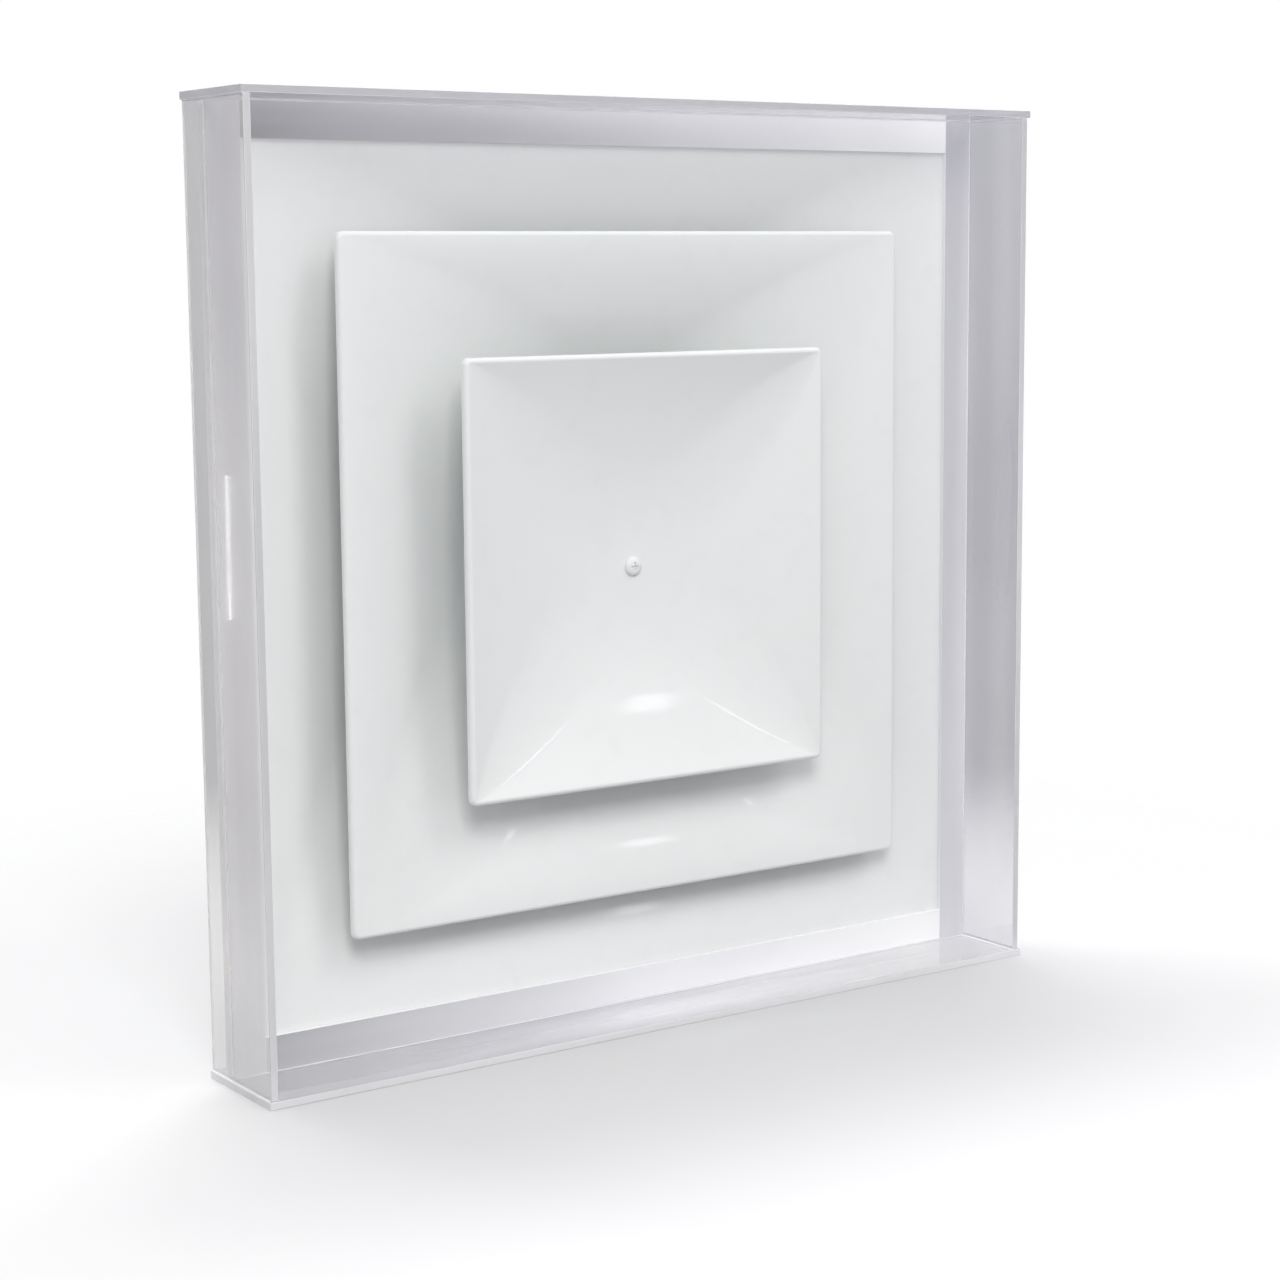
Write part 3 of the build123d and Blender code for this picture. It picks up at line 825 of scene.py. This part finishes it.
def make_collar_seam():
    """Lap of the rolled sleeve on its inside, spot-welded along its length."""
    radius = COLLAR_R - COLLAR_THICK
    half = LAP_WIDTH / 2 / radius
    first, last = LAP_START + LAP_EDGE, LAP_END - LAP_EDGE
    steps = 12
    rings = []
    for depth in (LAP_START, *(first + (last - first) * step / 4 for step in range(5)), LAP_END):
        trim = 0.3 if depth in (LAP_START, LAP_END) else 0.0
        angles = [half * (2 * step / steps - 1) for step in range(steps + 1)]
        ring = [(radius + 0.02, angle) for angle in angles]
        for angle in reversed(angles):
            soft = 0.35 if abs(angle) == half else 0.0
            ring.append((radius - LAP_THICK + soft + trim, angle))
        rings.append([Vector((r * MM * math.cos(a), y_at(depth), r * MM * math.sin(a))) for r, a in ring])
    bm = bmesh.new()
    add_grid(bm, rings, cap=True)
    dome = [(0.0, -0.16), (0.9, -0.13), (1.6, -0.04), (2.0, 0.06), (2.1, 0.2), (0.0, 0.2)]
    rings = lathe_rings([(r * MM, h * MM) for r, h in dome], segments=24)
    for spot in range(LAP_SPOTS):
        place = ((radius - LAP_THICK) * MM, y_at(LAP_SPOT_START + LAP_SPOT_PITCH * spot), 0)
        add_grid(bm, rings, place=pointing(place, (1, 0, 0)))
    add_piece(finish_mesh(bm, "neck_collar_lap_seam", "galvanised_steel"), "diffuser")


def rivet_profile(length):
    """Blind rivet along +Y: domed head above 0, shank, and its set tail below."""
    tail = -length
    dome = arc((0.0, 0.0), RIVET_DOME_R, 25, 70, 6)
    lift = RIVET_HEAD_THICK - dome[-1][1]
    head = [(r * RIVET_HEAD_R / dome[0][0], max(h + lift, RIVET_BRIM)) for r, h in dome]
    points = [(0.0, tail - TAIL_THICK), (MANDREL_R, tail - TAIL_THICK)]
    points += arc((TAIL_R - 0.6, tail - TAIL_THICK + 0.6), 0.6, -90, 0, 4)
    points += [(TAIL_R, tail - 0.1), (TAIL_R - 0.2, tail), (RIVET_R, tail), (RIVET_R, 0.0),
               (RIVET_HEAD_R - 0.15, 0.0), (RIVET_HEAD_R, 0.12)]
    points += head
    points += [(MANDREL_R + 0.1, RIVET_HEAD_THICK), (MANDREL_R, RIVET_HEAD_THICK - 0.15),
               (MANDREL_R, RIVET_HEAD_THICK - 0.45), (0.35, RIVET_HEAD_THICK - 0.35),
               (0.0, RIVET_HEAD_THICK - 0.3)]
    return [(r * MM, h * MM) for r, h in points]


def make_rivets(name, node, body, spots, length):
    """Same rivet at each spot. A spot is a place and the direction its head points in."""
    rings = lathe_rings(rivet_profile(length), segments=32)
    bm = bmesh.new()
    for place, axis in spots:
        add_grid(bm, rings, place=pointing(place, axis))
    add_piece(finish_mesh(bm, name, "zinc_fasteners"), body, node)


def make_all_rivets():
    spots = []
    for number in range(COLLAR_RIVETS):
        angle = math.radians(360 / COLLAR_RIVETS * (number + 0.5))
        x, z = COLLAR_RIVET_R * math.cos(angle), COLLAR_RIVET_R * math.sin(angle)
        spots.append(((x * MM, y_at(COLLAR_START + COLLAR_THICK), z * MM), (0, 1, 0)))
    make_rivets("collar_blind_rivets", "collar_rivets", "diffuser", spots, SHEET + COLLAR_THICK)
    pairs = [(side, x) for side in (-1, 1) for x in (-0.5 * MM, 0.5 * MM)]
    y, z = y_at(BRIDGE_DEPTH + BAR_THICK + BRIDGE_RIVET_RISE), (COLLAR_R - 0.1) * MM
    spots = [((x * BRIDGE_RIVET_PITCH, y, side * z), (0, 0, side)) for side, x in pairs]
    make_rivets("bridge_blind_rivets", "bridge_rivets", "diffuser", spots,
                COLLAR_R - bridge_reach() + BAR_THICK)
    y, z = y_at(CORE_BAR_DEPTH + CORE_BAR_THICK), CORE_RIVET_Z * MM
    spots = [((x * CORE_RIVET_PITCH, y, side * z), (0, 1, 0)) for side, x in pairs]
    make_rivets("core_bar_blind_rivets", "core_bar_rivets", "core", spots, SHEET + CORE_BAR_THICK)


def make_tab_rivets():
    """Flush-tailed rivets on the hanger tabs: the tail is painted over on the flange's front."""
    shank_r = RIVET_R * MM
    profile = [(0.0, -TAB_THICK * MM), (shank_r, -TAB_THICK * MM), (shank_r, 0.0)]
    profile += [(r, h) for r, h in rivet_profile(SHEET) if h > 0 or h == 0 and r > shank_r]
    rings = lathe_rings(profile, segments=32)
    bm = bmesh.new()
    for sx, sz in CORNERS:
        place = (sx * TAB_X * MM, y_at(TAB_BASE_DEPTH + TAB_THICK), sz * TAB_Z * MM)
        add_grid(bm, rings, place=Matrix.Translation(place))
    add_piece(finish_mesh(bm, "hanger_tab_flush_rivets", "zinc_fasteners"), "diffuser", "hanger_tab_rivets")


def bridge_reach():
    """How far the bridge bar reaches from the middle before its corners touch the collar's inside."""
    inner_r = COLLAR_R - COLLAR_THICK - BRIDGE_GAP
    return math.sqrt(inner_r ** 2 - (BAR_WIDTH / 2) ** 2)


def drill_rod_holes(piece, y, radius):
    for side in (-1, 1):
        drill(piece, (0, y, side * ROD_OFFSET * MM), (0, 1, 0), radius)


def make_bridge():
    """Bar across the neck, bent back at both ends, drilled for the rods and the screw."""
    middle = y_at(BRIDGE_DEPTH + BAR_THICK / 2)
    tip = y_at(BRIDGE_DEPTH + BAR_THICK + BRIDGE_TAB)
    outer = (bridge_reach() - BAR_THICK / 2) * MM
    bend = BRIDGE_BEND_R * MM
    inner = outer - bend
    path = [(tip, -outer), (middle + bend, -outer)]
    path += arc((middle + bend, -inner), bend, 260, 180)
    path += straight((middle, -inner), (middle, inner), 12)[1:]
    path += arc((middle + bend, inner), bend, 170, 90)
    path += [(tip, outer)]
    rings = strap_rings(path, BAR_WIDTH, BAR_CORNER_R, BAR_THICK, BAR_EDGE_R)
    piece = skin("bridge_bar_strap", rings, "galvanised_steel", cap=True)
    drill(piece, (0, middle, 0), (0, 1, 0), SCREW_PASSAGE_R)
    drill_rod_holes(piece, middle, ROD_R + BRIDGE_GAP)
    add_piece(piece, "diffuser", "bridge_bar")


def thread_wave(y, angle):
    """0 at the thread's crest and 1 at its root, for a right-hand screw along -Y."""
    turn = (y / (THREAD_PITCH * MM) + angle / (2 * math.pi)) % 1.0
    wave = abs(2 * turn - 1)
    return min(max((wave - THREAD_FLAT) / (1 - 2 * THREAD_FLAT), 0.0), 1.0)


def around(y, segments, radius_at):
    """Ring about the middle axis whose radius in millimetres depends on the angle."""
    ring = []
    for step in range(segments):
        angle = 2 * math.pi * step / segments
        radius = radius_at(angle) * MM
        ring.append(Vector((radius * math.cos(angle), y, radius * math.sin(angle))))
    return ring


def hexagon(angle, flat):
    """Radius of a hexagon at an angle, flat being its smallest."""
    return flat / math.cos(angle % math.radians(60) - math.radians(30))


def make_nut(segments=96, steps=64):
    """Weld nut with chamfered corners, its thread in step with the screw's."""
    start = BRIDGE_DEPTH + BAR_THICK
    flat = NUT_ACROSS_FLATS / 2
    corner = flat / math.cos(math.radians(30))
    levels = [(0.0, corner - 0.35), (0.35, corner), (NUT_THICK - 0.9, corner),
              (NUT_THICK - 0.5, corner - 0.45), (NUT_THICK - 0.2, flat + 0.1), (NUT_THICK, flat - 0.35)]
    rings = [around(y_at(start + height), segments, lambda a: min(hexagon(a, flat), limit))
             for height, limit in levels]
    for level in range(steps + 1):
        height = NUT_THICK * (1 - level / steps)
        y = y_at(start + height)
        ease = max(0.5 - min(height, NUT_THICK - height), 0.0)
        mouth = SCREW_R + THREAD_GAP + ease * 0.5
        depth = THREAD_HEIGHT * (1 - ease * 2)
        rings.append(around(y, segments, lambda a: mouth - depth * thread_wave(y, a)))
    bm = bmesh.new()
    add_grid(bm, rings, close_rows=True)
    for number in range(3):
        angle = math.radians(120 * number + 30)
        centre = Vector((flat * MM * math.cos(angle), y_at(start), flat * MM * math.sin(angle)))
        weld = bmesh.ops.create_uvsphere(bm, u_segments=16, v_segments=10, radius=1.0)["verts"]
        for vert in weld:
            x, y, z = vert.co
            wide = 1.9 * (1 + 0.12 * math.sin(5 * x + 3 * z))
            vert.co = centre + Vector((x * wide, abs(y) * 1.3 - 0.1, z * 1.9)) * MM
    add_piece(finish_mesh(bm, "bridge_weld_nut", "zinc_fasteners"), "diffuser", "bridge_nut")


def make_rods():
    """Guide rods with a chamfered tip and a riveted-over head."""
    back = BRIDGE_DEPTH + BAR_THICK
    chamfer, dome = 0.9, 1.2
    rim = back + ROD_HEAD_THICK - dome
    points = [(0.0, ROD_TIP_DEPTH), (ROD_R - chamfer, ROD_TIP_DEPTH), (ROD_R, ROD_TIP_DEPTH + chamfer),
              (ROD_R, back), (ROD_HEAD_R - 0.2, back), (ROD_HEAD_R, back + EDGE_BREAK), (ROD_HEAD_R, rim)]
    points += [(ROD_HEAD_R * math.cos(math.radians(a)), rim + dome * math.sin(math.radians(a)))
               for a in range(15, 91, 15)]
    bm = bmesh.new()
    for side in (-1, 1):
        add_grid(bm, lathe_rings(mm_profile(points), z=side * ROD_OFFSET * MM, segments=48))
    add_piece(finish_mesh(bm, "guide_rod_pair", "zinc_fasteners"), "diffuser", "guide_rods")


def make_tabs():
    """Bent tabs with rounded ends and a hole for a safety wire."""
    foot_y = y_at(TAB_BASE_DEPTH + TAB_THICK / 2)
    up_z = (TAB_Z + (TAB_FOOT - TAB_THICK) / 2) * MM
    bend = TAB_BEND_R * MM
    path = [(foot_y, (TAB_Z - TAB_FOOT / 2) * MM), (foot_y, up_z - bend)]
    path += arc((foot_y + bend, up_z - bend), bend, 165, 90, 5)
    path += [(y_at(TAB_BASE_DEPTH + TAB_HEIGHT), up_z)]
    bm = bmesh.new()
    for sz in (-1, 1):
        mirrored = [(y, z * sz) for y, z in path]
        rings = strap_rings(mirrored, TAB_WIDTH, TAB_CORNER_R, TAB_THICK, TAB_EDGE_R)
        for sx in (-1, 1):
            add_grid(bm, rings, cap=True, place=Matrix.Translation((sx * TAB_X * MM, 0, 0)))
    piece = finish_mesh(bm, "hanger_tab_set", "galvanised_steel")
    hole_y = y_at(TAB_BASE_DEPTH + TAB_HEIGHT - TAB_HOLE_DROP)
    for sx in (-1, 1):
        drill(piece, (sx * TAB_X * MM, hole_y, 0), (0, 0, 1), TAB_HOLE_R, 2.2 * TAB_Z)
    add_piece(piece, "diffuser", "hanger_tabs")


# -------- core

def make_core_bar():
    """Flat bar with rounded corners and softened edges, drilled for the guide rods."""
    half = CORE_BAR_LENGTH / 2 * MM
    y = y_at(CORE_BAR_DEPTH + CORE_BAR_THICK / 2)
    rings = strap_rings(straight((y, -half), (y, half), 16), BAR_WIDTH, CORE_BAR_CORNER_R,
                        CORE_BAR_THICK, CORE_BAR_EDGE_R)
    piece = skin("core_bar_strap", rings, "galvanised_steel", cap=True)
    drill_rod_holes(piece, y, ROD_HOLE_R)
    add_piece(piece, "core", "core_bar")


def make_hub():
    """Turned hub: welded flange, two grooves, and an end swaged over the core bar."""
    bore = SCREW_R + THREAD_GAP
    flange_end = HUB_START + HUB_FLANGE_THICK
    seat = CORE_BAR_DEPTH + CORE_BAR_THICK
    soft = EDGE_BREAK
    points = [(bore, HUB_START), (HUB_FLANGE_R - soft, HUB_START), (HUB_FLANGE_R, HUB_START + soft),
              (HUB_FLANGE_R, flange_end - soft), (HUB_FLANGE_R - soft, flange_end)]
    points += arc((HUB_R + 1.2, flange_end + 1.2), 1.2, 270, 180, 5)
    for groove in (flange_end + 8, flange_end + 20):
        points += [(HUB_R, groove), (HUB_R - 0.4, groove + 0.3), (HUB_R - 0.4, groove + 1.1),
                   (HUB_R, groove + 1.4)]
    points += [(HUB_R, seat), (HUB_R + 0.7, seat), (HUB_R + 0.7, seat + 0.25), (HUB_R - 0.2, HUB_END),
               (bore + 0.5, HUB_END), (bore, HUB_END - 0.5)]
    add_piece(turning("hub_turning", points, "turned_steel"), "core", "hub_standoff")


# -------- screw

def make_screw(segments=48, steps_per_turn=8):
    """Cross-head screw: enamelled domed head, plain neck, and a rolled thread to the tip."""
    head = [(0.0, SCREW_HEAD_DEPTH), (2.0, SCREW_HEAD_DEPTH + 0.06), (3.6, SCREW_HEAD_DEPTH + 0.28),
            (4.8, SCREW_HEAD_DEPTH + 0.70), (5.7, SCREW_HEAD_DEPTH + 1.25), (6.2, SCREW_HEAD_DEPTH + 1.8),
            (SCREW_HEAD_R, SCREW_HEAD_DEPTH + 2.4), (SCREW_HEAD_R, SCREW_HEAD_END - 0.2),
            (SCREW_HEAD_R - 0.2, SCREW_HEAD_END), (SCREW_R + 0.2, SCREW_HEAD_END),
            (SCREW_R - 0.15, SCREW_HEAD_END + 0.4), (SCREW_R - 0.15, THREAD_START_DEPTH)]
    rings = lathe_rings(mm_profile(head), segments=segments)
    length = SCREW_END_DEPTH - THREAD_START_DEPTH
    steps = int(length / THREAD_PITCH * steps_per_turn)
    for level in range(1, steps + 1):
        depth = THREAD_START_DEPTH + length * level / steps
        y = y_at(depth)
        groove = THREAD_HEIGHT * min((depth - THREAD_START_DEPTH) / THREAD_RUN_OUT, 1.0)
        tip_r = SCREW_R - max(depth - (SCREW_END_DEPTH - SCREW_TIP_CHAMFER), 0.0)
        rings.append(around(y, segments, lambda a: min(CREST_R - groove * thread_wave(y, a), tip_r)))
    rings += lathe_rings(mm_profile([(0.0, SCREW_END_DEPTH)]), segments=segments)
    piece = skin("adjusting_screw_turned", rings, "white_screw")
    for long_x in (True, False):
        cut(piece, drive_cutter(long_x))
    add_piece(piece, "screw", "adjusting_screw")


def drive_cutter(long_x):
    """One tapered slot of the cross drive."""
    half_l, half_w = DRIVE_LENGTH / 2, DRIVE_WIDTH / 2
    levels = [(SCREW_HEAD_DEPTH - 1.0, half_l + 0.4, half_w + 0.1),
              (SCREW_HEAD_DEPTH + DRIVE_DEPTH * 0.6, half_l - 0.9, half_w - 0.12),
              (SCREW_HEAD_DEPTH + DRIVE_DEPTH, half_w, half_w * 0.6)]
    rings = []
    for depth, along, across in levels:
        x, z = (along, across) if long_x else (across, along)
        rings.append([Vector((sx * x * MM, y_at(depth), sz * z * MM))
                      for sx, sz in ((1, 1), (-1, 1), (-1, -1), (1, -1))])
    return skin("cutter", rings, "white_screw", cap=True)


def make_stop():
    """Stop collar with chamfered edges and a radial hole for its set screw."""
    bore = SCREW_R + BRIDGE_GAP
    end = STOP_START + STOP_LENGTH
    inner_chamfer, chamfer = 0.4, 0.5
    points = [(bore, STOP_START + inner_chamfer), (bore + inner_chamfer, STOP_START),
              (STOP_R - chamfer, STOP_START), (STOP_R, STOP_START + chamfer), (STOP_R, end - chamfer),
              (STOP_R - chamfer, end), (bore + inner_chamfer, end), (bore, end - inner_chamfer)]
    collar = turning("screw_stop_collar_ring", points, "turned_steel")
    middle = y_at(STOP_START + STOP_LENGTH / 2)
    drill(collar, (STOP_R * MM, middle, 0), (1, 0, 0), SET_SCREW_R, 1.6 * STOP_R)
    add_piece(collar, "screw", "screw_stop_collar")


def make_set_screw(segments=36):
    """Set screw in the stop collar, along X, with a hexagon socket in its outer end."""
    inner = SCREW_R + BRIDGE_GAP
    outer = inner + SET_SCREW_LENGTH
    middle = y_at(STOP_START + STOP_LENGTH / 2)
    body_r = SET_SCREW_R - 0.05
    body = [(0.0, inner), (0.7, inner), (body_r, inner + 0.5), (body_r, outer - 0.2), (body_r - 0.2, outer)]
    socket = [(0.85, outer), (0.8, outer - 1.6), (0.0, outer - 1.8)]
    rings = []
    for radius, reach in body + socket:
        ring = []
        for step in range(segments):
            angle = 2 * math.pi * step / segments
            in_socket = (radius, reach) in socket
            r = hexagon(angle, radius * math.cos(math.radians(30))) if in_socket else radius
            r = max(r, 1e-3) * MM
            ring.append(Vector((reach * MM, middle + r * math.cos(angle), r * math.sin(angle))))
        rings.append(ring)
    add_piece(skin("socket_set_screw", rings, "zinc_fasteners"), "screw", "stop_set_screw")


# -------- stage

def make_floor():
    low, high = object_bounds()
    bpy.ops.mesh.primitive_circle_add(vertices=128, radius=FLOOR_RADIUS * 1.05, fill_type="NGON")
    floor = bpy.context.object
    floor.name = "studio_floor"
    floor.location = ((low[0] + high[0]) / 2, (low[1] + high[1]) / 2, low[2] - FLOOR_GAP)
    floor.data.materials.append(floor_white())


def make_camera():
    data = bpy.data.cameras.new("camera")
    data.lens = CAMERA_LENS
    data.sensor_width = 36.0
    camera = bpy.data.objects.new("camera", data)
    bpy.context.collection.objects.link(camera)
    turn = (Matrix.Rotation(math.radians(-CAMERA_HEADING), 4, "Z")
            @ Matrix.Rotation(math.radians(90 - CAMERA_PITCH), 4, "X")
            @ Matrix.Rotation(math.radians(CAMERA_ROLL), 4, "Z"))
    camera.matrix_world = Matrix.Translation(CAMERA_PLACE) @ turn
    bpy.context.scene.camera = camera


def area_light(name, place, target, size, power, mirrored=True):
    """Rectangular light at a place, aimed at a target. size is in metres and power in watts."""
    data = bpy.data.lights.new(name, "AREA")
    data.shape = "RECTANGLE"
    data.size, data.size_y = size
    data.energy = power
    light = bpy.data.objects.new(name, data)
    light.visible_glossy = mirrored
    light.location = place
    light.rotation_euler = (Vector(target) - Vector(place)).to_track_quat("-Z", "Y").to_euler()
    bpy.context.collection.objects.link(light)


def make_lights():
    area_light("key_upper_right", (1.20, -1.48, 1.98), (0, 0, 0), (0.9, 0.9), 12.6, mirrored=False)
    area_light("fill_front_left", (-1.20, -2.25, 1.80), (0, 0, 0), (1.2, 1.2), 46.0, mirrored=False)
    area_light("softbox_right", (1.30, -1.86, 0.41), (0, 0, 0), (0.07, 0.09), 0.14)
    area_light("glint_left", (-0.99, 1.373, -0.13), (-0.30, -0.045, 0.0), (0.0035, 0.17), 0.0070)
    area_light("top_behind", (0.20, 1.05, 2.6), (0, 0, -0.3), (1.9, 0.6), 52.0, mirrored=False)


def make_world():
    """White backdrop. For light and reflections, a studio that is bright above and grey around."""
    n = Nodes("studio", "World")
    greys = n.ramp(n.span(n.axis("Z", "Generated"), -1.0, 1.0),
                   [(0.0, (0.27, 0.27, 0.285)), (0.45, (0.42, 0.42, 0.44)), (0.58, (0.57, 0.57, 0.595)),
                    (0.80, (0.72, 0.72, 0.735)), (1.0, (0.85, 0.85, 0.85))])
    studio = n.add("Background", Color=greys)
    backdrop = n.add("Background", Color=(1.0, 1.0, 1.0))
    rays = n.add("LightPath")
    bpy.context.scene.world = n.finish(n.blend(rays.outputs["Is Camera Ray"], studio, backdrop))


def make_settings():
    scene = bpy.context.scene
    scene.view_settings.view_transform = "Standard"
    scene.cycles.max_bounces = 14
    scene.cycles.transmission_bounces = 12
    scene.cycles.transparent_max_bounces = 24
    scene.cycles.sample_clamp_indirect = 4.0


MATERIAL = {
    "white_enamel": white_enamel(),
    # Each wall and ledge has its own acrylic copy, lighter or darker as painted light and shade.
    "guard_left_wall": acrylic("acrylic_left_sheet", "Z", "X", 0.72, 0.88, LEFT_TINT_SHADING),
    "guard_right_wall": acrylic("acrylic_right_sheet", "Z", "X", 0.72, 0.88, RIGHT_TINT_SHADING),
    # Painted shade darkens the top sheet's sawn edges, and painted light whitens the bottom sheet's.
    "guard_top_wall": acrylic("acrylic_top_sheet", "X", "Z", 0.70, 0.84, TOP_TINT_SHADING,
                              sawn_tint_and_shading=(0.56, 0.557, 0.58)),
    "guard_bottom_wall": acrylic("acrylic_bottom_sheet", "X", "Z", 0.66, 0.82, BOTTOM_TINT_SHADING,
                                 sawn_tint_and_shading=(0.98, 0.98, 0.99)),
    "ledge_upright": acrylic("acrylic_ledge_upright", "Z", "Y", 0.14, 0.28, LEDGE_SIDE_TINT_SHADING,
                             matt=0.28),
    "ledge_top": acrylic("acrylic_ledge_top", "X", "Y", 0.04, 0.14, TOP_LEDGE_TINT_SHADING, matt=0.34),
    "ledge_bottom": acrylic("acrylic_ledge_bottom", "X", "Y", 0.02, 0.10, BOTTOM_LEDGE_TINT_SHADING,
                            matt=0.34),
    "galvanised_steel": galvanised(),
    "zinc_fasteners": bright_steel("zinc_fasteners", (0.70, 0.71, 0.73), (0.58, 0.59, 0.61),
                                   0.20, 0.34, 60.0),
    "turned_steel": bright_steel("turned_steel", (0.62, 0.63, 0.64), (0.50, 0.51, 0.52),
                                 0.18, 0.32, 160.0),
    "white_screw": screw_finish(),
}

make_guard()
make_ledge()
make_seams()
make_pan()
make_cone("inner_cone", INNER_LAND_R, SCREW_HOLE_R, bowl, INNER_DIP)
make_cone("middle_cone", MIDDLE_LAND_R, MIDDLE_HOLE_R, flare, 0.0)
make_collar()
make_collar_seam()
make_all_rivets()
make_tab_rivets()
make_bridge()
make_nut()
make_rods()
make_tabs()
make_core_bar()
make_hub()
make_screw()
make_stop()
make_set_screw()
make_floor()
make_camera()
make_lights()
make_world()
make_settings()
